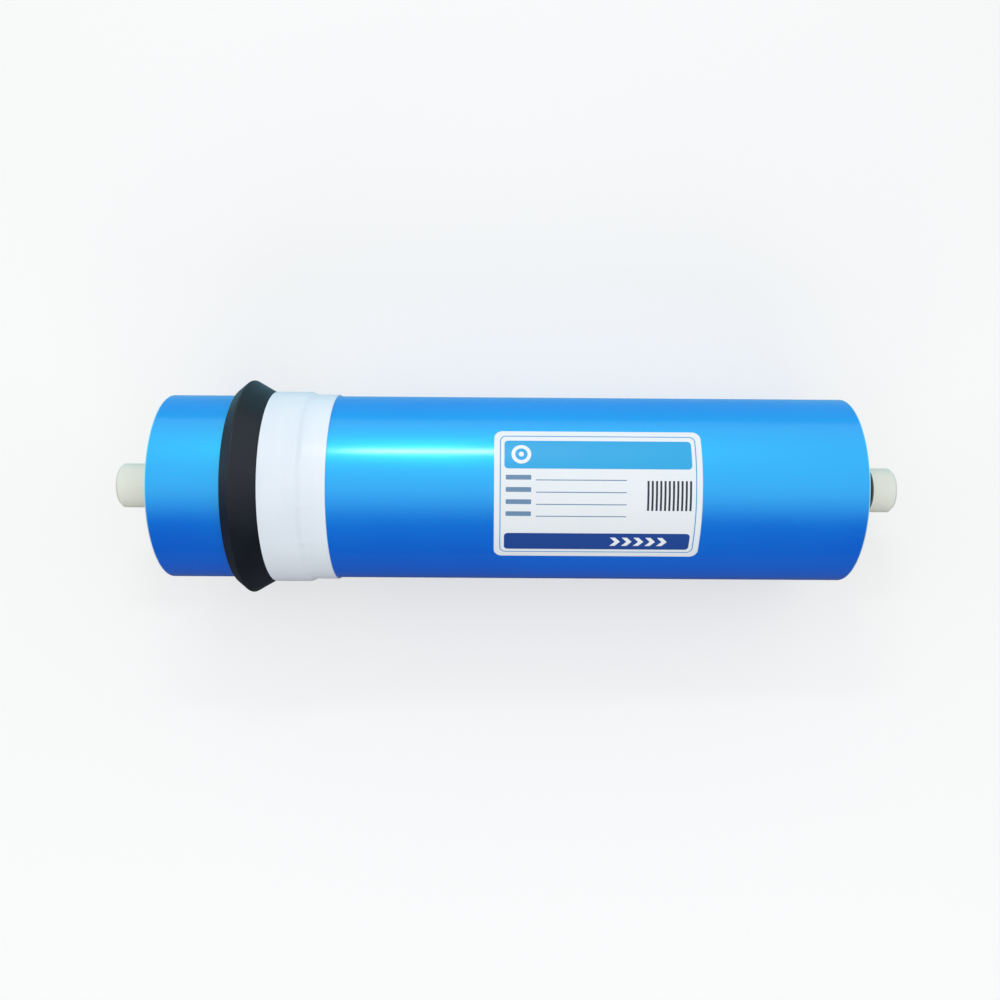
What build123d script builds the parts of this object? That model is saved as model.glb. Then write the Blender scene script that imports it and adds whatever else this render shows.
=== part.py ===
from build123d import *
import os
from math import cos, floor, radians, sin

# Spiral-wound reverse osmosis membrane element of the 3 by 12 inch household size.
# It lies along X with its feed end at -X and its permeate outlet at +X.
# The origin is on the tube's axis, halfway along the tube. All sizes are millimetres.

# Permeate tube: a moulded centre tube, closed at the feed end, with a turned spigot at each end
SPIGOT_LENGTH = 21.0
SPIGOT_DIAMETER = 17.0
SPIGOT_SHOULDER = 0.3
SPIGOT_CHAMFER = 1.0
TUBE_WALL = 3.25
FEED_END_WALL = 4.0
BORE_CHAMFER = 0.6
PERFORATION_DIAMETER = 2.4
PERFORATION_PITCH = 80.0
PERFORATION_END_MARGIN = 40.0

# Two O-rings seal the permeate spigot in its socket
O_RING_SECTION = 2.4
O_RING_PROUD = 0.4
O_RING_FROM_TIP = 10.8
O_RING_SPACING = 5.0
GROOVE_SIDE_CLEARANCE = 0.3
O_RING_FACETS = 16

# Leaf pack: glued membrane envelopes and loose feed spacers, wound together on the tube
CORE_CARRIER_THICKNESS = 0.6
LEAF_COUNT = 5
ENVELOPE_THICKNESS = 0.95
SPACER_THICKNESS = 1.0
FACETS_BETWEEN_LEAVES = 3
PACK_RECESS = 0.6
SPACER_RECESS = 0.5

# Outer wrap: a sleeve of blue film
WRAP_LENGTH = 256.0
WRAP_DIAMETER = 70.0
WRAP_THICKNESS = 0.5

# Brine seal: a rubber skirt that flares to a lip, open towards the feed end
LIP_FROM_END = 26.7
LIP_LAND = 4.3
LIP_HEIGHT = 6.0
LIP_TAPER = 3.5
LIP_THICKNESS = 1.1
LIP_FLARE_LENGTH = 8.6
SKIRT_LENGTH = 13.8
SKIRT_THICKNESS = 1.0

# White vinyl tape holds the skirt on the wrap and steps down past the skirt's end
TAPE_THICKNESS = 0.6
TAPE_SHOULDER = 1.2
TAPE_BEYOND_SHOULDER = 9.0

# Label on the wrap, on a thin layer of adhesive
LABEL_LENGTH = 73.6
LABEL_ARC = 48.5
LABEL_THICKNESS = 0.15
LABEL_ADHESIVE = 0.05
LABEL_CORNER = 3.0
LABEL_CENTRE = 31.9
LABEL_ANGLE = 95.2

# Places and radii that follow from the sizes above
WRAP_END = WRAP_LENGTH / 2
TUBE_END = WRAP_END + SPIGOT_LENGTH
SPIGOT_RADIUS = SPIGOT_DIAMETER / 2
BORE_RADIUS = SPIGOT_RADIUS - TUBE_WALL
WOUND_TUBE_RADIUS = SPIGOT_RADIUS + SPIGOT_SHOULDER
CORE_RADIUS = WOUND_TUBE_RADIUS + CORE_CARRIER_THICKNESS
WRAP_RADIUS = WRAP_DIAMETER / 2
WRAP_INNER_RADIUS = WRAP_RADIUS - WRAP_THICKNESS
GROOVE_RADIUS = SPIGOT_RADIUS + O_RING_PROUD - O_RING_SECTION
GROOVE_WIDTH = O_RING_SECTION + 2 * GROOVE_SIDE_CLEARANCE
OUTER_O_RING_PLACE = TUBE_END - O_RING_FROM_TIP
INNER_O_RING_PLACE = OUTER_O_RING_PLACE - O_RING_SPACING
PACK_END = WRAP_END - PACK_RECESS
SPACER_END = PACK_END - SPACER_RECESS
LAYER_THICKNESS = ENVELOPE_THICKNESS + SPACER_THICKNESS
FACET_ANGLE = 360 / (LEAF_COUNT * FACETS_BETWEEN_LEAVES)
FACET_RISE = LAYER_THICKNESS / FACETS_BETWEEN_LEAVES
LEAF_START_RADIUS = CORE_RADIUS / cos(radians(FACET_ANGLE / 2))
LEAF_FACETS = floor((WRAP_INNER_RADIUS - LEAF_START_RADIUS - LAYER_THICKNESS) / FACET_RISE)
LIP_RADIUS = WRAP_RADIUS + LIP_HEIGHT
LIP_TIP = LIP_FROM_END - WRAP_END
LIP_RIDGE = LIP_TIP + LIP_LAND
SKIRT_START = LIP_RIDGE + LIP_FLARE_LENGTH
SKIRT_END = SKIRT_START + SKIRT_LENGTH
SKIRT_RADIUS = WRAP_RADIUS + SKIRT_THICKNESS


def turned(*points):
    """Solid of revolution about X from an outline of (x, radius) points."""
    return revolve(make_face(Polyline(*points, close=True)), Axis.X)


def ring(start, end, inner_radius, outer_radius):
    """Plain sleeve about X."""
    return turned((start, inner_radius), (end, inner_radius), (end, outer_radius), (start, outer_radius))


def around(radius, degrees):
    """Point of the YZ plane at a radius and an angle from +Y towards +Z."""
    return (radius * cos(radians(degrees)), radius * sin(radians(degrees)))


def along_x(start, end, face):
    """Solid from a face drawn in the YZ plane, between two places on X."""
    return extrude(Plane.YZ.offset(start) * face, amount=end - start)


def permeate_tube():
    """Centre tube with turned spigots, O-ring grooves, a blind bore and cross-drilled perforations."""
    tube = turned(
        (-TUBE_END, 0),
        (-TUBE_END, SPIGOT_RADIUS - SPIGOT_CHAMFER),
        (-TUBE_END + SPIGOT_CHAMFER, SPIGOT_RADIUS),
        (-WRAP_END, SPIGOT_RADIUS),
        (-WRAP_END, WOUND_TUBE_RADIUS),
        (WRAP_END, WOUND_TUBE_RADIUS),
        (WRAP_END, SPIGOT_RADIUS),
        (TUBE_END - SPIGOT_CHAMFER, SPIGOT_RADIUS),
        (TUBE_END, SPIGOT_RADIUS - SPIGOT_CHAMFER),
        (TUBE_END, BORE_RADIUS + BORE_CHAMFER),
        (TUBE_END - BORE_CHAMFER, BORE_RADIUS),
        (-TUBE_END + FEED_END_WALL, BORE_RADIUS),
        (-TUBE_END + FEED_END_WALL, 0),
    )
    for place in (INNER_O_RING_PLACE, OUTER_O_RING_PLACE):
        half_width = GROOVE_WIDTH / 2
        tube -= ring(place - half_width, place + half_width, GROOVE_RADIUS, WOUND_TUBE_RADIUS)
    drilled_span = WRAP_LENGTH - 2 * PERFORATION_END_MARGIN
    drillings = floor(drilled_span / PERFORATION_PITCH) + 1
    first = -(drillings - 1) * PERFORATION_PITCH / 2
    drill = Pos(Z=WOUND_TUBE_RADIUS) * Cylinder(PERFORATION_DIAMETER / 2, 2 * WOUND_TUBE_RADIUS)
    for index in range(drillings):
        tube -= Pos(X=first + index * PERFORATION_PITCH) * Rot(X=90 * index) * drill
    return tube


def o_ring(place):
    """O-ring resting on its groove's floor, its round form drawn with flats."""
    outer = RegularPolygon(SPIGOT_RADIUS + O_RING_PROUD, O_RING_FACETS)
    inner = RegularPolygon(GROOVE_RADIUS, O_RING_FACETS, major_radius=False)
    start = place - O_RING_SECTION / 2
    square_cut = along_x(start, start + O_RING_SECTION, outer - inner)
    edges = square_cut.edges().filter_by(Axis.X, reverse=True)
    return chamfer(edges, O_RING_SECTION * (1 - 0.5**0.5))


def spiral(leaf, offset):
    """Points of one face of a wound sheet, starting on the core at the leaf's own angle."""
    start_radius = LEAF_START_RADIUS + offset
    start_angle = 360 / LEAF_COUNT * leaf
    return [
        around(start_radius + FACET_RISE * facet, start_angle + FACET_ANGLE * facet)
        for facet in range(LEAF_FACETS + 1)
    ]


def wound_strip(leaf, offset, thickness, half_length):
    """One sheet of the leaf pack, wound from the core out to the wrap."""
    inner = spiral(leaf, offset)
    outer = spiral(leaf, offset + thickness)
    outline = make_face(Polyline(*inner, *reversed(outer), close=True))
    return along_x(-half_length, half_length, outline)


def brine_seal():
    """Rubber skirt on the wrap, flaring to a ridge, with a tapered lip round an open groove."""
    tip_radius = LIP_RADIUS - LIP_TAPER
    groove_radius = tip_radius - LIP_THICKNESS
    return turned(
        (SKIRT_END, WRAP_RADIUS),
        (SKIRT_END, SKIRT_RADIUS),
        (SKIRT_START, SKIRT_RADIUS),
        (LIP_RIDGE, LIP_RADIUS),
        (LIP_TIP, tip_radius),
        (LIP_TIP, groove_radius),
        (LIP_RIDGE, groove_radius),
        (LIP_RIDGE, WRAP_RADIUS),
    )


def seal_tape():
    """Tape wound over the skirt, stepping down on to the wrap beyond it."""
    shoulder_end = SKIRT_END + TAPE_SHOULDER
    tape_end = shoulder_end + TAPE_BEYOND_SHOULDER
    return turned(
        (SKIRT_START, SKIRT_RADIUS),
        (SKIRT_END, SKIRT_RADIUS),
        (SKIRT_END, WRAP_RADIUS),
        (tape_end, WRAP_RADIUS),
        (tape_end, WRAP_RADIUS + TAPE_THICKNESS),
        (shoulder_end, WRAP_RADIUS + TAPE_THICKNESS),
        (SKIRT_END, SKIRT_RADIUS + TAPE_THICKNESS),
        (SKIRT_START, SKIRT_RADIUS + TAPE_THICKNESS),
    )


def label():
    """Thin sticker with rounded corners, bent round the wrap."""
    start, end = LABEL_CENTRE - LABEL_LENGTH / 2, LABEL_CENTRE + LABEL_LENGTH / 2
    inner = WRAP_RADIUS + LABEL_ADHESIVE
    outer = inner + LABEL_THICKNESS
    chord = 2 * outer * sin(LABEL_ARC / WRAP_RADIUS / 2)
    outline = Pos(X=LABEL_CENTRE) * RectangleRounded(LABEL_LENGTH, chord, LABEL_CORNER)
    sticker = ring(start - LABEL_CORNER, end + LABEL_CORNER, inner, outer) & extrude(outline, amount=2 * outer)
    return Rot(X=LABEL_ANGLE - 90) * sticker


parts = {
    "permeate_tube": permeate_tube(),
    "core_carrier": ring(-PACK_END, PACK_END, WOUND_TUBE_RADIUS, CORE_RADIUS),
    "outer_wrap": ring(-WRAP_END, WRAP_END, WRAP_INNER_RADIUS, WRAP_RADIUS),
    "brine_seal": brine_seal(),
    "seal_tape": seal_tape(),
    "label": label(),
    "inner_o_ring": o_ring(INNER_O_RING_PLACE),
    "outer_o_ring": o_ring(OUTER_O_RING_PLACE),
}
for leaf in range(LEAF_COUNT):
    parts[f"membrane_leaf_{leaf + 1}"] = wound_strip(leaf, 0, ENVELOPE_THICKNESS, PACK_END)
    parts[f"feed_spacer_{leaf + 1}"] = wound_strip(leaf, ENVELOPE_THICKNESS, SPACER_THICKNESS, SPACER_END)

os.makedirs("parts", exist_ok=True)
for name, solid in parts.items():
    export_step(solid, f"parts/{name}.step")
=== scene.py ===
# %% [markdown]
# # A spiral-wound membrane element
# A household reverse osmosis element is a roll: membrane sheets and plastic nets wound round a
# tube, held in a sleeve of blue film, with a rubber lip seal near the feed end.
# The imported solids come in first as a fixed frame. Every finer piece is then modelled in the
# place of its solid, so the sizes are read from the solids instead of being typed twice.

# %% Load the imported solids
import math

import bpy
import numpy as np
from mathutils import Matrix, Vector


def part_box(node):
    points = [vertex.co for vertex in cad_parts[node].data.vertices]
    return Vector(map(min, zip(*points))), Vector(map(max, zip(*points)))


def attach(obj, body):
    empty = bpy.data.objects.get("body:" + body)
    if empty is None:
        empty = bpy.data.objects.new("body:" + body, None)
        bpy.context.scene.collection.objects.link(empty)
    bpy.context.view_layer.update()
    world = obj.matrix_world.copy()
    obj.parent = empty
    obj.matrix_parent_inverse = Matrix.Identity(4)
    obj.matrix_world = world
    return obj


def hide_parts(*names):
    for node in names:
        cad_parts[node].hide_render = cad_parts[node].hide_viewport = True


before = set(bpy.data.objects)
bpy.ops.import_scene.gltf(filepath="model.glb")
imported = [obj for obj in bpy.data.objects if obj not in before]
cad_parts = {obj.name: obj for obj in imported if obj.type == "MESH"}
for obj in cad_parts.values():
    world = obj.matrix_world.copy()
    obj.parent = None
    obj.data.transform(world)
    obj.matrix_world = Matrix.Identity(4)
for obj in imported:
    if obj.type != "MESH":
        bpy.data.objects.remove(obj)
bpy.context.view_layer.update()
MM = 0.001


def reach(node):
    """Start, end and outer radius of a solid round the X axis, in millimetres."""
    low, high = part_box(node)
    return low.x / MM, high.x / MM, high.z / MM


for node in sorted(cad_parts):
    print(node, [round(value, 2) for value in reach(node)])

# %% [markdown]
# ## A lathe for the round pieces
# Tube, rings, seal, tape and film are all round about one axis, as turned or moulded parts are.
# A lathe needs half a section only: one vertex is pulled along the outline by extruding it, and
# the closed outline is spun through a full turn. A cylinder primitive would need many more cuts to
# get the same steps, and its section couldn't be read off the code.
# Sharp corners are then rounded by a Bevel modifier, because every real edge catches a little light.
# Where two roundings meet, points fall together, so they are merged afterwards.

# %% Lathe and edge rounding
SAME_POINT = 1e-6


def only(piece):
    """Make one object the selected and active one."""
    bpy.ops.object.select_all(action="DESELECT")
    piece.select_set(True)
    bpy.context.view_layer.objects.active = piece


def apply_modifier(piece, kind, **settings):
    """Add a modifier with its settings and apply it."""
    modifier = piece.modifiers.new(kind.title(), kind)
    for name, value in settings.items():
        setattr(modifier, name, value)
    only(piece)
    bpy.ops.object.modifier_apply(modifier=modifier.name)


def lathe(name, outline, steps):
    """Spin a closed outline of (x, radius) points, in millimetres, round the X axis."""
    bpy.ops.object.select_all(action="DESELECT")
    bpy.ops.mesh.primitive_plane_add(size=MM)
    piece = bpy.context.object
    piece.name = name
    bpy.ops.object.mode_set(mode="EDIT")
    bpy.ops.mesh.merge(type="CENTER")
    x, radius = outline[0]
    bpy.ops.transform.translate(value=(x * MM, 0, radius * MM))
    for next_x, next_radius in outline[1:] + outline[:1]:
        move = ((next_x - x) * MM, 0, (next_radius - radius) * MM)
        bpy.ops.mesh.extrude_region_move(TRANSFORM_OT_translate={"value": move})
        x, radius = next_x, next_radius
    bpy.ops.mesh.select_all(action="SELECT")
    bpy.ops.mesh.remove_doubles(threshold=SAME_POINT)
    bpy.ops.mesh.spin(steps=steps, angle=2 * math.pi, center=(0, 0, 0), axis=(1, 0, 0))
    bpy.ops.mesh.select_all(action="SELECT")
    bpy.ops.mesh.remove_doubles(threshold=SAME_POINT)
    bpy.ops.mesh.delete_loose()
    bpy.ops.mesh.select_all(action="SELECT")
    bpy.ops.mesh.normals_make_consistent(inside=False)
    bpy.ops.object.mode_set(mode="OBJECT")
    return piece


def clean_up(piece):
    """Merge points that fall together, and turn all faces outward."""
    only(piece)
    bpy.ops.object.mode_set(mode="EDIT")
    bpy.ops.mesh.select_all(action="SELECT")
    bpy.ops.mesh.remove_doubles(threshold=2 * SAME_POINT)
    bpy.ops.mesh.normals_make_consistent(inside=False)
    bpy.ops.object.mode_set(mode="OBJECT")


def round_edges(piece, radius, segments=3, over=30):
    """Round every edge sharper than an angle, and shade the rest smooth."""
    apply_modifier(piece, "BEVEL", width=radius * MM, segments=segments, limit_method="ANGLE",
                   angle_limit=math.radians(over))
    clean_up(piece)
    bpy.ops.object.shade_smooth_by_angle(angle=math.radians(40))
    apply_modifier(piece, "WEIGHTED_NORMAL", keep_sharp=True)


def hand_over(piece, slot, *nodes):
    """Let a finished piece stand for its solids in the shared frame."""
    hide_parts(*nodes)
    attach(piece, "root")
    print(piece.name, "stands for", ", ".join(nodes), "with", len(piece.data.polygons), "faces")


# %% [markdown]
# ## The permeate tube
# Clean water leaves through this moulded tube. It is closed at the feed end, where a small dimple
# shows the place where the plastic entered the mould, and open at the other end, where
# two grooves hold O-rings. The holes that let the water in are drilled through one wall.
# The outline gives everything that is round. The holes are cut afterwards by a Boolean modifier,
# with three cylinders as drills, since a spun outline can't have them.

# %% Turn and drill the tube
tube_start, tube_end, wound_radius = reach("permeate_tube")
wrap_start, wrap_end, wrap_radius = reach("outer_wrap")
SHOULDER, CHAMFER, GROOVE_HALF = 0.3, 1.0, 1.5
BORE_CHAMFER, END_WALL = 0.6, 4.0
GATE_DEPTH, GATE_FLOOR, GATE_RIM = 0.5, 1.6, 2.0
spigot_radius = wound_radius - SHOULDER
bore_radius = 5.25
groove_floor = 6.5
ROUND_STEPS = 96
ring_places = [sum(reach(node)[:2]) / 2 for node in ("inner_o_ring", "outer_o_ring")]

tube_outline = [(tube_start + GATE_DEPTH, 0), (tube_start + GATE_DEPTH, GATE_FLOOR), (tube_start, GATE_RIM),
                (tube_start, spigot_radius - CHAMFER), (tube_start + CHAMFER, spigot_radius),
                (wrap_start, spigot_radius), (wrap_start, wound_radius),
                (wrap_end, wound_radius), (wrap_end, spigot_radius)]
for place in ring_places:
    tube_outline += [(place - GROOVE_HALF, spigot_radius), (place - GROOVE_HALF, groove_floor),
                     (place + GROOVE_HALF, groove_floor), (place + GROOVE_HALF, spigot_radius)]
tube_outline += [(tube_end - CHAMFER, spigot_radius), (tube_end, spigot_radius - CHAMFER),
                 (tube_end, bore_radius + BORE_CHAMFER), (tube_end - BORE_CHAMFER, bore_radius),
                 (tube_start + END_WALL, bore_radius), (tube_start + END_WALL, 0)]
tube = lathe("permeate_tube_moulding", tube_outline, ROUND_STEPS)

DRILL_RADIUS, DRILL_DEPTH, DRILL_OUT = 1.2, 12, 8
for index, place in enumerate((-80, 0, 80)):
    turn = math.radians(90 * index)
    middle = Vector((place, -math.sin(turn) * DRILL_OUT, math.cos(turn) * DRILL_OUT)) * MM
    bpy.ops.object.select_all(action="DESELECT")
    bpy.ops.mesh.primitive_cylinder_add(vertices=32, radius=DRILL_RADIUS * MM, depth=DRILL_DEPTH * MM,
                                        location=middle, rotation=(turn, 0, 0))
    drill = bpy.context.object
    apply_modifier(tube, "BOOLEAN", operation="DIFFERENCE", solver="EXACT", object=drill)
    bpy.data.objects.remove(drill)
round_edges(tube, 0.15, segments=2)
hand_over(tube, "tube_plastic", "permeate_tube")

# %% [markdown]
# ## The O-rings
# Each O-ring is a moulded rubber cord closed into a ring. Two mould halves meet on its widest
# line and leave a hair of flash there. The section is therefore a round outline with one small
# point at the outside and one at the inside, and a torus primitive wouldn't have it.
# The second ring is a copy with its own mesh, moved along the tube.

# %% Mould two O-rings
CORD_RADIUS, CORD_POINTS, FLASH = 1.2, 28, 0.035
ring_centre = groove_floor + CORD_RADIUS
ring_outline = []
for index in range(CORD_POINTS):
    turn = 2 * math.pi * index / CORD_POINTS
    size = CORD_RADIUS if index in (0, CORD_POINTS // 2) else CORD_RADIUS - FLASH
    ring_outline.append((ring_places[0] + size * math.sin(turn), ring_centre + size * math.cos(turn)))
inner_ring = lathe("inner_o_ring_rubber", ring_outline, ROUND_STEPS)
only(inner_ring)
bpy.ops.object.shade_smooth_by_angle(angle=math.radians(25))

bpy.ops.object.duplicate()
outer_ring = bpy.context.object
outer_ring.name = "outer_o_ring_rubber"
bpy.ops.object.mode_set(mode="EDIT")
bpy.ops.mesh.select_all(action="SELECT")
bpy.ops.transform.translate(value=((ring_places[1] - ring_places[0]) * MM, 0, 0))
bpy.ops.object.mode_set(mode="OBJECT")
hand_over(inner_ring, "o_ring_rubber", "inner_o_ring")
hand_over(outer_ring, "o_ring_rubber", "outer_o_ring")

# %% [markdown]
# ## The film sleeve
# The roll is wrapped in glossy blue film. Its free edge laps over itself in a line along the
# length, which lies on the underside here, and the two ends are cut square.
# The sleeve is a thin lathe piece. For the lap, the outer faces of a strip are extruded outward by
# a film's thickness, and the strip's far side is pressed down again, so only one edge stands.

# %% Wrap the film and lap its free edge
FILM, FILM_SLICES, FINE_STEPS = 0.5, 34, 192
film_inner = wrap_radius - FILM
film_outline = [(wrap_start, film_inner), (wrap_end, film_inner), (wrap_end, wrap_radius)]
film_outline += [(x, wrap_radius) for x in np.linspace(wrap_end, wrap_start, FILM_SLICES)[1:]]
film = lathe("film_sleeve", film_outline, FINE_STEPS)


def angle_of(point):
    """Angle of a point round the X axis, in degrees from +Z towards -Y."""
    return math.degrees(math.atan2(-point.y, point.z))


LAP_START, LAP_END, LAP_STEP = 148, 172, 0.22
NEAR = LAP_STEP / 2
only(film)
bpy.ops.object.mode_set(mode="EDIT")
bpy.ops.mesh.select_mode(type="FACE")
bpy.ops.mesh.select_all(action="DESELECT")
bpy.ops.object.mode_set(mode="OBJECT")
for face in film.data.polygons:
    outside = abs(face.normal.x) < 0.1 and face.center.yz.length > (wrap_radius - NEAR) * MM
    face.select = outside and LAP_START < angle_of(face.center) < LAP_END
bpy.ops.object.mode_set(mode="EDIT")
bpy.ops.mesh.extrude_region_shrink_fatten(TRANSFORM_OT_shrink_fatten={"value": LAP_STEP * MM})
bpy.ops.mesh.select_mode(type="VERT")
bpy.ops.mesh.select_all(action="DESELECT")
bpy.ops.object.mode_set(mode="OBJECT")
raised = [vertex for vertex in film.data.vertices if vertex.co.yz.length > (wrap_radius + NEAR) * MM]
far_side = max(angle_of(vertex.co) for vertex in raised)
for vertex in raised:
    vertex.select = angle_of(vertex.co) > far_side - 0.5
bpy.ops.object.mode_set(mode="EDIT")
pressed = wrap_radius / (wrap_radius + LAP_STEP)
bpy.ops.transform.resize(value=(1, pressed, pressed), center_override=(0, 0, 0))
bpy.ops.mesh.select_all(action="SELECT")
bpy.ops.mesh.remove_doubles(threshold=10 * SAME_POINT)
bpy.ops.mesh.normals_make_consistent(inside=False)
bpy.ops.object.mode_set(mode="OBJECT")
round_edges(film, 0.1, segments=2, over=50)
hand_over(film, "blue_film", "outer_wrap")

# %% [markdown]
# ## The brine seal
# A moulded rubber skirt flares into a lip that points to the feed end. Water pressure spreads the
# lip against the housing, so nothing slips past the roll, and an open groove under the lip lets that
# water in. Rubber mouldings have soft corners, so the edges get a wider rounding than plastic ones.

# %% Mould the seal
seal_start, seal_end, lip_radius = reach("brine_seal")
tape_start, tape_end, tape_radius = reach("seal_tape")
SKIRT, LIP_LAND, LIP_TAPER, LIP = 1.0, 4.3, 3.5, 1.1
ridge = seal_start + LIP_LAND
tip_radius = lip_radius - LIP_TAPER
skirt_radius = wrap_radius + SKIRT
seal_outline = [(seal_end, wrap_radius), (seal_end, skirt_radius), (tape_start, skirt_radius),
                (ridge, lip_radius), (seal_start, tip_radius), (seal_start, tip_radius - LIP),
                (ridge, tip_radius - LIP), (ridge, wrap_radius)]
seal = lathe("lip_seal", seal_outline, FINE_STEPS)
round_edges(seal, 0.5, segments=4, over=12)
hand_over(seal, "seal_rubber", "brine_seal")

# %% [markdown]
# ## The white tape
# A turn of white vinyl tape ties the skirt to the film. Where it steps down past the skirt's end
# the flat tape has to shrink to a smaller girth, so it gathers into small puckers along the shoulder.
# The outline is divided finely there, and a Displace modifier with a cloud texture moves only a
# vertex group round the shoulder.

# %% Wind the tape
TAPE, GLUE, STEP, STEP_LEAD, STEP_RUN = 0.6, 0.02, 1.2, 0.6, 2.6
LOW_MARGIN, STEP_CUTS, TOP_CUTS, TAPE_STEPS = 1.0, 9, 12, 240
GATHER, PUCKER = 4.5, 0.5
shoulder = seal_end
step_end = shoulder + STEP
low_radius = wrap_radius + TAPE
on_skirt, on_film = skirt_radius + GLUE, wrap_radius + GLUE
tape_outline = [(tape_start, on_skirt), (shoulder + GLUE, on_skirt), (shoulder + GLUE, on_film),
                (tape_end, on_film), (tape_end, low_radius)]
tape_outline += [(x, low_radius) for x in np.linspace(tape_end, step_end + LOW_MARGIN, STEP_CUTS)[1:]]
for part in np.linspace(0, 1, STEP_CUTS):
    ease = part * part * (3 - 2 * part)
    tape_outline.append((step_end + STEP_LEAD - part * STEP_RUN, low_radius + SKIRT * ease))
tape_outline += [(x, tape_radius) for x in np.linspace(shoulder - 2 * STEP, tape_start, TOP_CUTS)]
tape = lathe("seal_tape_winding", tape_outline, TAPE_STEPS)

gather = tape.vertex_groups.new(name="shoulder")
for vertex in tape.data.vertices:
    away = abs(vertex.co.x / MM - step_end) / GATHER
    outside = vertex.co.yz.length > (low_radius - 0.01) * MM
    if outside and away < 1:
        gather.add([vertex.index], (1 - away) ** 2, "REPLACE")
puckers = bpy.data.textures.new("tape_puckers", "CLOUDS")
puckers.noise_scale = 5 * MM
puckers.noise_depth = 2
apply_modifier(tape, "DISPLACE", texture=puckers, texture_coords="LOCAL", strength=PUCKER * MM,
               mid_level=0.55, vertex_group="shoulder")
round_edges(tape, 0.12, segments=2, over=50)
hand_over(tape, "white_tape", "seal_tape")

# %% [markdown]
# ## Rolling sheets up
# The roll inside is five membrane leaves and five plastic nets. In the factory they are flat
# sheets that are wound up together, and they are made the same way here: each piece is modelled
# flat, with its length along Y and its height along Z, and then rolled up by the rule of an
# Archimedean spiral. A Bend deform would only give circles, so the rule is a few lines of numpy.
# A net is a little longer than its leaf, and its tail drops by a leaf's thickness where the leaf ends.
# The solids' sheets have facets, and their angle and number give the winding its length.

# %% The winding rule
LEAVES, ENVELOPE, NET = 5, 0.95, 1.0
FACET_ANGLE, FACETS = math.radians(24), 35
TAIL_DROP, SHEET_SLICES = 3.0, 132
core_radius = reach("core_carrier")[2]
pack_end = reach("membrane_leaf_1")[1]
net_end = reach("feed_spacer_1")[1]
inner_turn = core_radius / math.cos(FACET_ANGLE / 2)
gain = (ENVELOPE + NET) / (2 * math.pi / LEAVES)
full_turn = FACET_ANGLE * FACETS
leaf_length = inner_turn * full_turn + gain * full_turn**2 / 2


def roll_up(piece):
    """Bend a flat piece into the spiral: Y runs along the winding and Z is the height on it."""
    flat = np.empty(len(piece.data.vertices) * 3)
    piece.data.vertices.foreach_get("co", flat)
    x, along, height = flat.reshape(-1, 3).T / MM
    height = height - ENVELOPE * np.clip((along - leaf_length) / TAIL_DROP, 0, 1)
    turn = (np.sqrt(inner_turn**2 + 2 * gain * along) - inner_turn) / gain
    radius = inner_turn + gain * turn + height
    rolled = np.stack([x, radius * np.cos(turn), radius * np.sin(turn)], axis=1) * MM
    piece.data.vertices.foreach_set("co", rolled.ravel())
    piece.data.update()
    clean_up(piece)


def flat_sheet(name, half_width, low, high):
    """Flat sheet of the leaf's length, between two heights."""
    bpy.ops.object.select_all(action="DESELECT")
    bpy.ops.mesh.primitive_grid_add(x_subdivisions=1, y_subdivisions=SHEET_SLICES, size=1)
    piece = bpy.context.object
    piece.name = name
    bpy.ops.object.mode_set(mode="EDIT")
    bpy.ops.mesh.select_all(action="SELECT")
    bpy.ops.transform.resize(value=(2 * half_width * MM, leaf_length * MM, 1))
    bpy.ops.transform.translate(value=(0, leaf_length / 2 * MM, low * MM))
    bpy.ops.object.mode_set(mode="OBJECT")
    apply_modifier(piece, "SOLIDIFY", thickness=(high - low) * MM, offset=1)
    return piece


def join(pieces):
    """Join flat pieces into the first one."""
    only(pieces[0])
    for piece in pieces:
        piece.select_set(True)
    bpy.ops.object.join()
    return pieces[0]


print(f"one leaf is {leaf_length:.1f} mm long and goes round {full_turn / 2 / math.pi:.2f} times")

# %% [markdown]
# ## The membrane leaves
# A leaf is an envelope: two membrane sheets with a knitted carrier between them, glued shut along
# the edges. At the roll's ends the three layers show as fine lines, the glued carrier a hair deeper
# than the sheets. Leaf one is built from three sheets and rolled up. The other four are
# copies with their own meshes, each turned a fifth of a circle further.

# %% Stack, roll and copy the leaves
def turned_copy(piece, name, degrees):
    """Copy of a finished piece with its own mesh, turned round the X axis."""
    only(piece)
    bpy.ops.object.duplicate()
    copy = bpy.context.object
    copy.name = name
    copy.data.transform(Matrix.Rotation(math.radians(degrees), 4, "X"))
    return copy


SHEET, CARRIER_TOP, HAIR = 0.25, 0.68, 0.02
CARRIER_RECESS, SHEET_RECESS = 0.25, 0.05
layers = [flat_sheet("membrane_leaf", pack_end, HAIR, HAIR + SHEET),
          flat_sheet("glued_carrier", pack_end - CARRIER_RECESS, HAIR + SHEET, CARRIER_TOP),
          flat_sheet("second_sheet", pack_end - SHEET_RECESS, CARRIER_TOP, CARRIER_TOP + SHEET)]
leaf = join(layers)
roll_up(leaf)
bpy.ops.object.shade_smooth_by_angle(angle=math.radians(30))
leaves = [leaf] + [turned_copy(leaf, "membrane_leaf", 360 / LEAVES * index) for index in range(1, LEAVES)]
for index, piece in enumerate(leaves, 1):
    piece.name = f"wound_leaf_{index}"
    hand_over(piece, "membrane_sheet", f"membrane_leaf_{index}")

# %% [markdown]
# ## The feed spacers
# Between the leaves lies a diamond net of plastic strands, and the feed water runs through it.
# One strand is a thin cylinder with its far end pulled aside, so the cut end stays square to the roll.
# An Array repeats it along the sheet, a second set slants the other way on top, and a Mirror
# gives the other end of the roll. Nobody sees the middle, so there a plain sheet fills the height.

# %% Weave, roll and copy the nets
STRAND, NET_DEPTH, NET_PITCH, NET_TAIL = 0.28, 6.0, 3.0, 18.0
LOWER_STRANDS, UPPER_STRANDS = ENVELOPE + 0.3, ENVELOPE + 0.7
FILLER_GAP, FILLER_LAP = 0.05, 0.2


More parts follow.
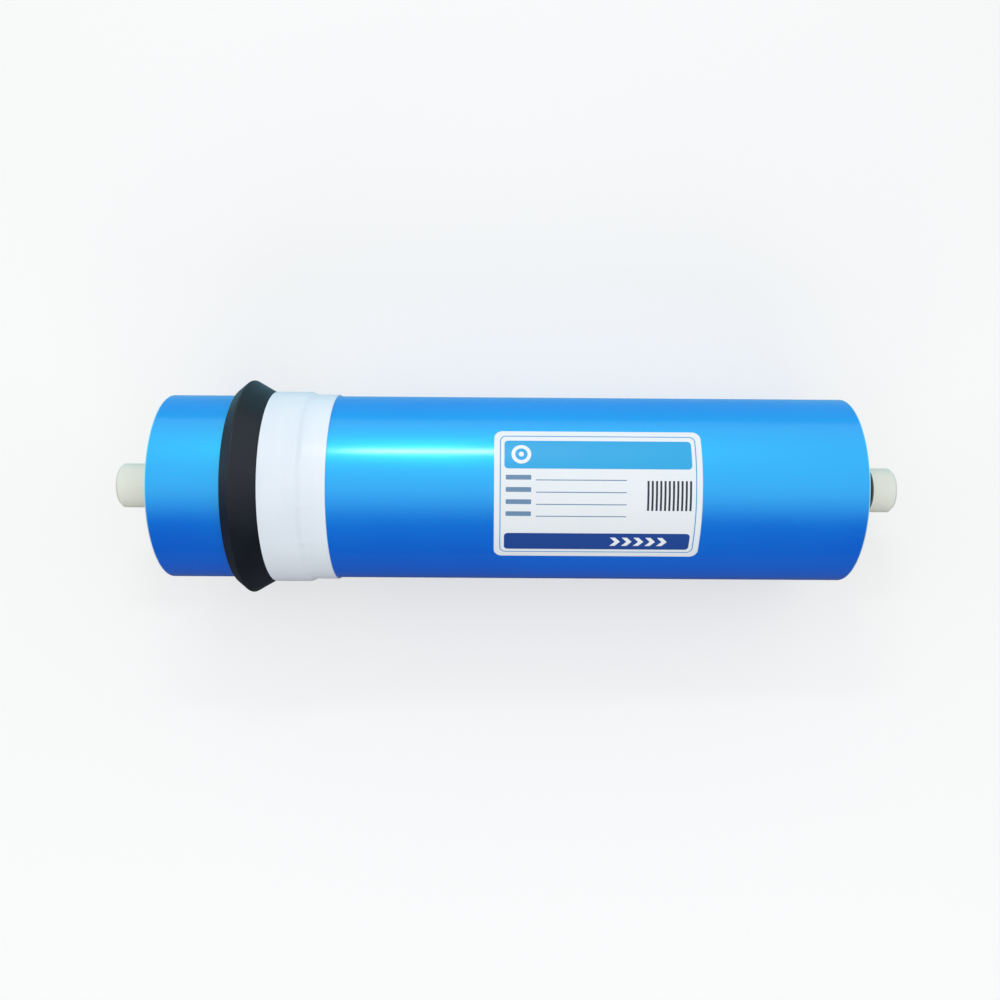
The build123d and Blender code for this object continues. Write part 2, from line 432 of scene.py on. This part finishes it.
def strand_set(name, height, slant):
    """Row of parallel strands at the +X end of the flat net."""
    bpy.ops.object.select_all(action="DESELECT")
    middle = ((net_end - NET_DEPTH / 2) * MM, NET_PITCH / 2 * MM, height * MM)
    bpy.ops.mesh.primitive_cylinder_add(vertices=6, radius=STRAND * MM, depth=NET_DEPTH * MM,
                                        location=middle, rotation=(0, math.pi / 2, 0))
    piece = bpy.context.object
    piece.name = name
    bpy.ops.object.transform_apply(location=True, rotation=True)
    for vertex in piece.data.vertices:
        vertex.select = vertex.co.x < middle[0]
    for edge in piece.data.edges:
        edge.select = all(piece.data.vertices[i].select for i in edge.vertices)
    for face in piece.data.polygons:
        face.select = all(piece.data.vertices[i].select for i in face.vertices)
    bpy.ops.object.mode_set(mode="EDIT")
    bpy.ops.mesh.select_mode(type="VERT")
    bpy.ops.transform.translate(value=(0, slant * NET_DEPTH * MM, 0))
    bpy.ops.mesh.select_mode(type="EDGE")
    bpy.ops.mesh.select_all(action="DESELECT")
    bpy.ops.object.mode_set(mode="OBJECT")
    for edge in piece.data.edges:
        ends = [piece.data.vertices[i].co.x for i in edge.vertices]
        edge.select = abs(ends[0] - ends[1]) > MM
    bpy.ops.object.mode_set(mode="EDIT")
    bpy.ops.mesh.subdivide(number_cuts=4)
    bpy.ops.object.mode_set(mode="OBJECT")
    count = int((leaf_length + NET_TAIL - NET_DEPTH) / NET_PITCH)
    apply_modifier(piece, "ARRAY", count=count, use_relative_offset=False, use_constant_offset=True,
                   constant_offset_displace=(0, NET_PITCH * MM, 0))
    if slant < 0:
        piece.data.transform(Matrix.Translation((0, NET_DEPTH * MM, 0)))
    apply_modifier(piece, "MIRROR", use_axis=(True, False, False), use_mirror_merge=False)
    return piece


net = join([strand_set("feed_net", LOWER_STRANDS, 1),
            strand_set("upper_strands", UPPER_STRANDS, -1),
            flat_sheet("net_middle", net_end - NET_DEPTH + FILLER_LAP,
                       ENVELOPE + FILLER_GAP, ENVELOPE + NET - FILLER_GAP)])
roll_up(net)
bpy.ops.object.shade_smooth_by_angle(angle=math.radians(50))
nets = [net] + [turned_copy(net, "feed_net", 360 / LEAVES * index) for index in range(1, LEAVES)]
for index, piece in enumerate(nets, 1):
    piece.name = f"wound_net_{index}"
    hand_over(piece, "spacer_net", f"feed_spacer_{index}")

# %% [markdown]
# ## The label
# The label is a thin glossy sticker with rounded corners, bent round the film. It starts as a flat
# plane, its corners are rounded by a vertex bevel, and it is sliced by bisecting so that it can bend.
# Bending is exact when every point is put at its own arc length, and that keeps the print square.

# %% Cut and bend the label
label_start, label_end, _ = reach("label")
LABEL_ARC, LABEL_TURN, LABEL_CORNER = 48.5, math.radians(5.2), 3.0
STICKER, STICKER_TOP, STICKER_SLICES = 0.14, 0.2, 50
label_middle = (label_start + label_end) / 2
label_length = label_end - label_start

bpy.ops.object.select_all(action="DESELECT")
bpy.ops.mesh.primitive_plane_add(size=1)
label = bpy.context.object
label.name = "bent_label"
bpy.ops.object.mode_set(mode="EDIT")
bpy.ops.transform.resize(value=(label_length * MM, LABEL_ARC * MM, 1))
bpy.ops.mesh.bevel(offset=LABEL_CORNER * MM, segments=8, affect="VERTICES")
for cut in np.linspace(-0.5, 0.5, STICKER_SLICES)[1:-1]:
    bpy.ops.mesh.select_all(action="SELECT")
    bpy.ops.mesh.bisect(plane_co=(0, cut * LABEL_ARC * MM, 0), plane_no=(0, 1, 0))
bpy.ops.mesh.select_all(action="SELECT")
bpy.ops.mesh.normals_make_consistent(inside=False)
bpy.ops.object.mode_set(mode="OBJECT")
if label.data.polygons[0].normal.z < 0:
    label.data.flip_normals()
apply_modifier(label, "SOLIDIFY", thickness=STICKER * MM, offset=-1)
for vertex in label.data.vertices:
    turn = LABEL_TURN - vertex.co.y / (wrap_radius * MM)
    radius = (wrap_radius + STICKER_TOP) * MM + vertex.co.z
    vertex.co = (vertex.co.x + label_middle * MM, -radius * math.sin(turn), radius * math.cos(turn))
label.data.update()
only(label)
bpy.ops.object.shade_smooth_by_angle(angle=math.radians(30))
hand_over(label, "label_stock", "label")

# %% [markdown]
# ## Building with nodes
# A finish is a small network of nodes. A helper adds one node, sets its options and fills or links its
# inputs, so that each material below reads as a list of its ideas. Colours are given as they look on
# a screen and turned into the linear values that shaders use.

# %% Node helpers
def paint(red, green, blue):
    """Linear colour for a screen colour from 0 to 255."""
    parts = [value / 255 for value in (red, green, blue)]
    return tuple(c / 12.92 if c <= 0.04045 else ((c + 0.055) / 1.055) ** 2.4 for c in parts) + (1.0,)


def add(tree, kind, inputs=None, **options):
    """Add a node, set its options, then fill its inputs with values or links."""
    node = tree.nodes.new(kind)
    for name, value in options.items():
        setattr(node, name, value)
    for key, value in (inputs or {}).items():
        if isinstance(value, bpy.types.NodeSocket):
            tree.links.new(value, node.inputs[key])
        else:
            node.inputs[key].default_value = value
    return node


def calc(tree, operation, *values, clamp=False):
    """Math node on values or links."""
    node = add(tree, "ShaderNodeMath", dict(enumerate(values)), operation=operation, use_clamp=clamp)
    return node.outputs[0]


def blend(tree, mask, first, second):
    """Mix two colours by a mask."""
    node = add(tree, "ShaderNodeMix", {0: mask, 6: first, 7: second}, data_type="RGBA")
    return node.outputs[2]


def noise(tree, place, scale, stretch=(1, 1, 1), detail=3.0):
    """Noise from 0 to 1 at a scale per metre, stretched by a mapping."""
    mapped = add(tree, "ShaderNodeMapping", {"Vector": place, "Scale": stretch}).outputs[0]
    cloud = add(tree, "ShaderNodeTexNoise", {"Vector": mapped, "Scale": scale, "Detail": detail})
    return cloud.outputs["Fac"]


def spread(tree, value, low, high, to_low=0.0, to_high=1.0):
    """Map a span of a value to another span, kept inside it."""
    inputs = {"Value": value, "From Min": low, "From Max": high, "To Min": to_low, "To Max": to_high}
    return add(tree, "ShaderNodeMapRange", inputs).outputs[0]


def object_place(tree):
    """The piece's own coordinates, in metres."""
    return add(tree, "ShaderNodeTexCoord").outputs["Object"]


def finish(name, pieces):
    """New material with an empty Principled shader, given to pieces."""
    material = bpy.data.materials.new(name)
    material.use_nodes = True
    for piece in pieces:
        piece.data.materials.clear()
        piece.data.materials.append(material)
    print("finish", name, "on", ", ".join(piece.name for piece in pieces))
    return material.node_tree, material.node_tree.nodes["Principled BSDF"]


def relief(tree, shader, height, depth):
    """Bump from a height of 0 to 1, in millimetres."""
    bump = add(tree, "ShaderNodeBump", {"Height": height, "Strength": 1.0, "Distance": depth * MM})
    tree.links.new(bump.outputs[0], shader.inputs["Normal"])


# %% [markdown]
# ## Three shared effects
# Several finishes need the same things, so each is made once as a node group.
# The first unrolls the element: it gives the place along the axis and the arc round it, in
# millimetres. The second gives marks of handling, soft smudges and fine scratches. The third
# is a printed field with sharp edges, from which the whole label is laid out.

# %% Node groups
def group(name, inputs, outputs):
    """New node group with number sockets, or a vector for an input called Vector."""
    tree = bpy.data.node_groups.new(name, "ShaderNodeTree")
    for socket in inputs:
        kind = "NodeSocketVector" if socket == "Vector" else "NodeSocketFloat"
        tree.interface.new_socket(socket, in_out="INPUT", socket_type=kind)
    for socket in outputs:
        tree.interface.new_socket(socket, in_out="OUTPUT", socket_type="NodeSocketFloat")
    return tree, add(tree, "NodeGroupInput").outputs, add(tree, "NodeGroupOutput").inputs


unrolled, given, result = group("unrolled", ["Vector"], ["Along", "Arc"])
parts = add(unrolled, "ShaderNodeSeparateXYZ", {0: given["Vector"]}).outputs
turn = calc(unrolled, "ARCTAN2", parts[1], parts[2])
unrolled.links.new(calc(unrolled, "DIVIDE", parts[0], MM), result["Along"])
unrolled.links.new(calc(unrolled, "MULTIPLY", turn, wrap_radius), result["Arc"])

handling, given, result = group("handling_marks", ["Vector"], ["Smudge", "Scratch"])
smudge = noise(handling, given["Vector"], 28, detail=5.0)
handling.links.new(spread(handling, smudge, 0.42, 0.68), result["Smudge"])
scratches = []
for slant in (0.4, -0.7):
    tilted = add(handling, "ShaderNodeMapping", {"Vector": given["Vector"], "Rotation": (0.5, slant, slant)})
    hair = noise(handling, tilted.outputs[0], 60, stretch=(0.25, 22, 22), detail=1.0)
    scratches.append(spread(handling, hair, 0.71, 0.76))
handling.links.new(calc(handling, "MAXIMUM", *scratches), result["Scratch"])

sockets = ["Across", "Up", "Middle", "Height", "Width", "Tall", "Corner"]
field, given, result = group("printed_field", sockets, ["Mask"])
half_width = calc(field, "SUBTRACT", calc(field, "MULTIPLY", given["Width"], 0.5), given["Corner"])
half_tall = calc(field, "SUBTRACT", calc(field, "MULTIPLY", given["Tall"], 0.5), given["Corner"])
aside = calc(field, "ABSOLUTE", calc(field, "SUBTRACT", given["Across"], given["Middle"]))
above = calc(field, "ABSOLUTE", calc(field, "SUBTRACT", given["Up"], given["Height"]))
over = calc(field, "MAXIMUM", calc(field, "SUBTRACT", aside, half_width), 0)
beyond = calc(field, "MAXIMUM", calc(field, "SUBTRACT", above, half_tall), 0)
distance = calc(field, "SQRT", calc(field, "ADD", calc(field, "MULTIPLY", over, over),
                                    calc(field, "MULTIPLY", beyond, beyond)))
edge = calc(field, "SUBTRACT", distance, given["Corner"])
field.links.new(spread(field, edge, -0.04, 0.04, 1.0, 0.0), result["Mask"])


def use(tree, which, inputs):
    """Put a node group into a material and give its outputs."""
    return add(tree, "ShaderNodeGroup", inputs, node_tree=which).outputs


print("node groups:", ", ".join(shared.name for shared in (unrolled, handling, field)))

# %% [markdown]
# ## The film's finish
# The film is bright blue and glossy. Under tension it keeps faint ripples along the roll, and a pale line
# is painted round both of its ends. The ripples are bump, since they are finer than any mesh here, and only
# the reflections tell of them. The film's own reflection is tinted, and a clear coat adds a white one.

# %% Blue film
tree, shader = finish("blue_film", [film])
place = object_place(tree)
flat = use(tree, unrolled, {"Vector": place})
marks = use(tree, handling, {"Vector": place})
tone = noise(tree, place, 9, stretch=(0.6, 2, 2), detail=4.0)
blue = blend(tree, spread(tree, tone, 0.3, 0.7), paint(6, 72, 250), paint(10, 80, 254))
CUT_FROM, CUT_FULL = 0.35, 0.25
# a pale line painted round both ends of the film, within a third of a millimetre of the end
end = spread(tree, calc(tree, "ABSOLUTE", flat["Along"]), wrap_end - CUT_FROM, wrap_end - CUT_FULL)
tree.links.new(blend(tree, end, blue, paint(206, 226, 240)), shader.inputs["Base Color"])
tree.links.new(spread(tree, marks["Smudge"], 0, 1, 0.4, 0.48), shader.inputs["Roughness"])
shader.inputs["IOR"].default_value = 2.65
shader.inputs["Specular IOR Level"].default_value = 1.0
shader.inputs["Specular Tint"].default_value = (0.02, 1.0, 0.86, 1.0)
shader.inputs["Coat Weight"].default_value = 1.0
shader.inputs["Coat Roughness"].default_value = 0.17
ripple = noise(tree, place, 60, stretch=(0.12, 1, 1), detail=2.0)
grain = noise(tree, place, 420, stretch=(0.5, 1, 1), detail=2.0)
relief(tree, shader, calc(tree, "ADD", ripple, calc(tree, "MULTIPLY", grain, 0.04)), 0.12)

# %% [markdown]
# ## Tape and rubber
# White vinyl tape is softer in its shine. Beside the shoulder it has gathers that are finer than the
# puckers in the mesh, so they are bump that fades out with the distance from the shoulder.
# The seal is dull black rubber with a slight grey bloom from handling, and the O-rings are black rubber
# with a little dust.

# %% White tape and black rubber
tree, shader = finish("white_tape", [tape])
place = object_place(tree)
flat = use(tree, unrolled, {"Vector": place})
marks = use(tree, handling, {"Vector": place})
tone = noise(tree, place, 40, stretch=(2.5, 0.6, 0.6), detail=4.0)
white = blend(tree, spread(tree, tone, 0.3, 0.75), paint(237, 243, 249), paint(229, 236, 244))
tree.links.new(blend(tree, calc(tree, "MULTIPLY", marks["Smudge"], 0.25), white, paint(214, 224, 234)),
               shader.inputs["Base Color"])
tree.links.new(spread(tree, tone, 0.2, 0.8, 0.3, 0.42), shader.inputs["Roughness"])
away = calc(tree, "ABSOLUTE", calc(tree, "SUBTRACT", flat["Along"], step_end))
near = spread(tree, away, 0, 6, 1, 0)
gathers = calc(tree, "MULTIPLY", noise(tree, place, 260, stretch=(0.12, 1, 1), detail=2.0), near)
relief(tree, shader, calc(tree, "ADD", gathers, calc(tree, "MULTIPLY", tone, 0.25)), 0.35)

tree, shader = finish("seal_rubber", [seal])
place = object_place(tree)
marks = use(tree, handling, {"Vector": place})
bloom = calc(tree, "ADD", calc(tree, "MULTIPLY", marks["Smudge"], 0.5),
             calc(tree, "MULTIPLY", marks["Scratch"], 0.3))
tree.links.new(blend(tree, bloom, paint(16, 21, 28), paint(30, 37, 47)), shader.inputs["Base Color"])
tree.links.new(spread(tree, noise(tree, place, 90), 0.3, 0.7, 0.36, 0.48), shader.inputs["Roughness"])
shader.inputs["Specular IOR Level"].default_value = 0.35
relief(tree, shader, noise(tree, place, 900, detail=3.0), 0.03)

tree, shader = finish("o_ring_rubber", [inner_ring, outer_ring])
place = object_place(tree)
dust = noise(tree, place, 300, detail=4.0)
black = blend(tree, spread(tree, dust, 0.4, 0.8), paint(24, 25, 27), paint(44, 46, 49))
tree.links.new(black, shader.inputs["Base Color"])
tree.links.new(spread(tree, dust, 0.3, 0.7, 0.3, 0.44), shader.inputs["Roughness"])
relief(tree, shader, dust, 0.02)

# %% [markdown]
# ## The tube's and the leaves' finish
# The tube is cream plastic with faint flow marks from the mould. Membrane sheets are ivory, and the glued
# carrier between them is darker with the glue.
# A leaf is one piece with one finish, so the finish has to find the carrier by itself: its end lies
# a quarter of a millimetre deeper than the sheets' ends, so a mask on the place along the axis
# parts the pale cut edges from everything behind them.

# %% Cream plastic and membrane
tree, shader = finish("tube_plastic", [tube])
place = object_place(tree)
marks = use(tree, handling, {"Vector": place})
flow = noise(tree, place, 45, stretch=(0.3, 1, 1), detail=4.0)
cream = blend(tree, spread(tree, flow, 0.3, 0.7), paint(228, 230, 216), paint(238, 239, 228))
tree.links.new(blend(tree, calc(tree, "MULTIPLY", marks["Scratch"], 0.2), cream, paint(200, 200, 188)),
               shader.inputs["Base Color"])
tree.links.new(spread(tree, flow, 0.3, 0.7, 0.3, 0.4), shader.inputs["Roughness"])
relief(tree, shader, flow, 0.04)

tree, shader = finish("membrane_sheet", leaves)
place = object_place(tree)
flat = use(tree, unrolled, {"Vector": place})
fibre = noise(tree, place, 1400, stretch=(0.4, 1, 1), detail=4.0)
between = pack_end - (CARRIER_RECESS + SHEET_RECESS) / 2
cut_edge = spread(tree, calc(tree, "ABSOLUTE", flat["Along"]), between - HAIR, between + HAIR)
ivory = blend(tree, fibre, paint(222, 214, 190), paint(242, 238, 224))
glued = blend(tree, fibre, paint(168, 154, 120), paint(196, 184, 152))
tree.links.new(blend(tree, cut_edge, glued, ivory), shader.inputs["Base Color"])
tree.links.new(spread(tree, fibre, 0.3, 0.7, 0.5, 0.75), shader.inputs["Roughness"])
relief(tree, shader, fibre, 0.05)

# %% [markdown]
# ## The nets' and the core's finish
# The nets are clear-white plastic, a little cloudy. The cloth round the tube is a fine knit: a wave texture
# gives it ribs round the tube, in its colour and as bump. Hardly any of it shows, so it needs no piece
# of its own, and its solid gets the finish as it is.

# %% Net plastic and carrier cloth
tree, shader = finish("spacer_net", nets)
place = object_place(tree)
cloud = noise(tree, place, 500, detail=3.0)
tree.links.new(blend(tree, cloud, paint(196, 206, 210), paint(228, 234, 236)), shader.inputs["Base Color"])
tree.links.new(spread(tree, cloud, 0.3, 0.7, 0.3, 0.42), shader.inputs["Roughness"])

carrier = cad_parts["core_carrier"]
tree, shader = finish("carrier_cloth", [carrier])
place = object_place(tree)
knit = add(tree, "ShaderNodeTexWave", {"Vector": place, "Scale": 700.0, "Distortion": 1.5},
           bands_direction="X").outputs["Fac"]
tree.links.new(blend(tree, knit, paint(205, 208, 208), paint(236, 237, 234)), shader.inputs["Base Color"])
tree.links.new(spread(tree, knit, 0.0, 1.0, 0.6, 0.8), shader.inputs["Roughness"])
relief(tree, shader, knit, 0.08)

# %% [markdown]
# ## The label's print
# A product label has a coloured band, ruled lines to fill in, a bar field and a strip that shows the flow
# direction. All of it is laid out from printed fields, in millimetres from the label's middle. Each
# field is the same node group with other numbers, and later ones cover earlier ones.
# The flow strip gets five chevrons, made by bending a row of stripes.

# %% Lay out the print
tree, shader = finish("label_print", [label])
place = object_place(tree)
flat = use(tree, unrolled, {"Vector": place})
across = calc(tree, "SUBTRACT", flat["Along"], label_middle)
up = calc(tree, "ADD", flat["Arc"], LABEL_TURN * wrap_radius)


def printed(middle, height, width, tall, corner=0.1):
    """Mask of a field by its middle, size and corner, in millimetres."""
    inputs = {"Across": across, "Up": up, "Middle": middle, "Height": height,
              "Width": width, "Tall": tall, "Corner": corner}
    return use(tree, field, inputs)["Mask"]


paper_tone = noise(tree, place, 60, detail=3.0)
paper, sky_ink, deep_ink = paint(240, 243, 245), paint(30, 168, 226), paint(18, 66, 146)
line_ink, bar_ink = paint(108, 140, 172), paint(36, 46, 64)
MARGIN, KEYLINE = 4, 0.7
FIELD_WIDTH, BAND_UP, STRIP_UP, RING_ACROSS = 66.4, 14.9, -17.3, -27.2
ROWS, ROW_UP, ROW_PITCH, BAR_PITCH, CHEVRON_PITCH = 4, 5.6, 4.3, 1.5, 4.2
inner_width, inner_tall = label_length - MARGIN, LABEL_ARC - MARGIN
ink = blend(tree, paper_tone, paper, paint(233, 237, 240))
outside = printed(0, 0, inner_width, inner_tall, corner=2.2)
inside = printed(0, 0, inner_width - KEYLINE, inner_tall - KEYLINE, corner=1.9)
ink = blend(tree, calc(tree, "SUBTRACT", outside, inside, clamp=True), ink, paint(40, 150, 215))

ink = blend(tree, printed(0, BAND_UP, FIELD_WIDTH, tall=10.6, corner=1.4), ink, sky_ink)
for width, colour in ((7.0, paper), (4.4, sky_ink), (1.8, paper)):
    ink = blend(tree, printed(RING_ACROSS, BAND_UP, width, width, width / 2), ink, colour)

for row in range(ROWS):
    height = ROW_UP - ROW_PITCH * row
    tag = printed(middle=-28.2, height=height + 0.9, width=9.0, tall=1.7, corner=0.3)
    rule = printed(middle=-6.0, height=height, width=32.0, tall=0.35)
    ink = blend(tree, rule, blend(tree, tag, ink, line_ink), line_ink)
bars = calc(tree, "GREATER_THAN", calc(tree, "FRACT", calc(tree, "DIVIDE", across, BAR_PITCH)), 0.5)
bar_field = printed(middle=25.1, height=0.2, width=16.1, tall=10.6)
ink = blend(tree, calc(tree, "MULTIPLY", bars, bar_field), ink, bar_ink)

ink = blend(tree, printed(0, STRIP_UP, FIELD_WIDTH, tall=7.0, corner=1.4), ink, deep_ink)
point = calc(tree, "ADD", across, calc(tree, "ABSOLUTE", calc(tree, "SUBTRACT", up, STRIP_UP)))
chevron = calc(tree, "GREATER_THAN", calc(tree, "FRACT", calc(tree, "DIVIDE", point, CHEVRON_PITCH)), 0.55)
chevron_field = printed(middle=15.0, height=STRIP_UP, width=5 * CHEVRON_PITCH, tall=3.6)
ink = blend(tree, calc(tree, "MULTIPLY", chevron, chevron_field), ink, paper)
tree.links.new(ink, shader.inputs["Base Color"])
tree.links.new(spread(tree, paper_tone, 0.3, 0.7, 0.38, 0.48), shader.inputs["Roughness"])
relief(tree, shader, noise(tree, place, 50, stretch=(0.3, 1, 1), detail=2.0), 0.05)

# %% [markdown]
# ## The table
# The element lies on a pale table. It rests on the seal's lip and on the far end's edge, so the table is
# a little tilted in the part's own frame. The camera sees it white, with half of that as glow, so that
# it stays even. To every other ray the table is two cards of painted light and shade: pale blue as painted
# window light on the upper side and dark grey as painted shade on the lower one. The film reflects them,
# so its edges keep their colour instead of washing out.

# %% Table
ridge_place = Vector((ridge, 0, -lip_radius)) * MM
rim_place = Vector((wrap_end, 0, -wrap_radius)) * MM
slope = math.atan2(rim_place.z - ridge_place.z, rim_place.x - ridge_place.x)

bpy.ops.object.select_all(action="DESELECT")
bpy.ops.mesh.primitive_plane_add(size=6)
table = bpy.context.object
table.name = "table"
table.data.transform(Matrix.Translation(ridge_place) @ Matrix.Rotation(-slope, 4, "Y"))
print(f"the table is tilted by {math.degrees(slope):.2f} degrees")
tree, shader = finish("table_with_painted_light_and_shade", [table])
cloud = noise(tree, object_place(tree), 3, detail=2.0)
white = blend(tree, cloud, paint(245, 244, 242), paint(247, 246, 244))
path = add(tree, "ShaderNodeLightPath").outputs
across = add(tree, "ShaderNodeSeparateXYZ", {0: object_place(tree)}).outputs[1]
CARD_EDGE = 30 * MM
# painted light and shade for reflected and bounced rays: pale blue on the upper side, dark grey on the lower
# side
painted_light_and_shade_cards = blend(tree, spread(tree, across, -CARD_EDGE, CARD_EDGE), paint(96, 98, 104), paint(150, 202, 216))
tree.links.new(blend(tree, path["Is Camera Ray"], painted_light_and_shade_cards, white), shader.inputs["Base Color"])
shader.inputs["Roughness"].default_value = 0.7
shader.inputs["Specular IOR Level"].default_value = 0.1
glow = add(tree, "ShaderNodeEmission")
half = calc(tree, "MULTIPLY", path["Is Camera Ray"], 0.5)
lifted = add(tree, "ShaderNodeMixShader", {0: half, 1: shader.outputs[0], 2: glow.outputs[0]})
tree.links.new(lifted.outputs[0], tree.nodes["Material Output"].inputs["Surface"])

# %% [markdown]
# ## The light
# Glossy film shows what is around it, so most of the light is a dome, bright on the upper side of the
# picture and falling off towards the lower side, as beside a window; lamps alone would draw hard bands
# on the film. One narrow lamp adds the long streak, and a broad one, which reflections don't see, lifts
# the lower side.

# %% Lamps and dome
def lamp(name, place, target, width, height, power):
    """Rectangular soft lamp that faces a target."""
    data = bpy.data.lights.new(name, "AREA")
    data.shape = "RECTANGLE"
    data.size, data.size_y, data.energy = width, height, power
    light = bpy.data.objects.new(name, data)
    bpy.context.scene.collection.objects.link(light)
    light.location = place
    light.rotation_euler = (Vector(target) - Vector(place)).to_track_quat("-Z", "Y").to_euler()
    print("lamp", name, "of", power, "W")
    return light


lamp("streak", place=(-0.06, 0.40, 0.43), target=(-0.03, 0, 0), width=0.17, height=0.036, power=0.5)
fill = lamp("fill", place=(0.0, -1.2, 0.55), target=(0, 0, 0), width=1.6, height=1.0, power=10.5)
fill.visible_glossy = False

scene = bpy.context.scene
scene.view_settings.view_transform = "Standard"
world = bpy.data.worlds.new("studio")
scene.world = world
world.use_nodes = True
tree = world.node_tree
seen = add(tree, "ShaderNodeLightPath").outputs["Is Camera Ray"]
ray = add(tree, "ShaderNodeSeparateXYZ", {0: add(tree, "ShaderNodeTexCoord").outputs["Generated"]}).outputs
side = calc(tree, "ARCTAN2", ray[1], ray[2])
DARK_SIDE, BRIGHT_SIDE, DARKEST = math.radians(-48), math.radians(-5.8), 0.05
level = spread(tree, side, DARK_SIDE, BRIGHT_SIDE, DARKEST)
dome = blend(tree, level, (0, 0, 0, 1), (0.93, 0.97, 1.0, 1))
tree.links.new(blend(tree, seen, dome, (1, 1, 1, 1)), tree.nodes["Background"].inputs["Color"])

# %% [markdown]
# ## The camera
# The camera looks almost straight down on the table through a slightly shifted lens. Its place was chosen
# so that the element's edges fall where they do in the photograph.

# %% Camera
CAMERA_PLACE = Vector((-3.49, -4.73, 367.5)) * MM
CAMERA_LEAN, CAMERA_ROLL = -0.0046, 0.0066
camera_data = bpy.data.cameras.new("camera")
camera_data.lens = 33.99
camera_data.shift_x = -0.0023
camera = bpy.data.objects.new("camera", camera_data)
scene.collection.objects.link(camera)
scene.camera = camera
lean, roll = Matrix.Rotation(CAMERA_LEAN, 4, "Y"), Matrix.Rotation(CAMERA_ROLL, 4, "Z")
camera.matrix_world = Matrix.Translation(CAMERA_PLACE) @ lean @ roll
print(f"the camera stands {CAMERA_PLACE.z:.4f} m above the axis, with a {camera_data.lens:.2f} mm lens")
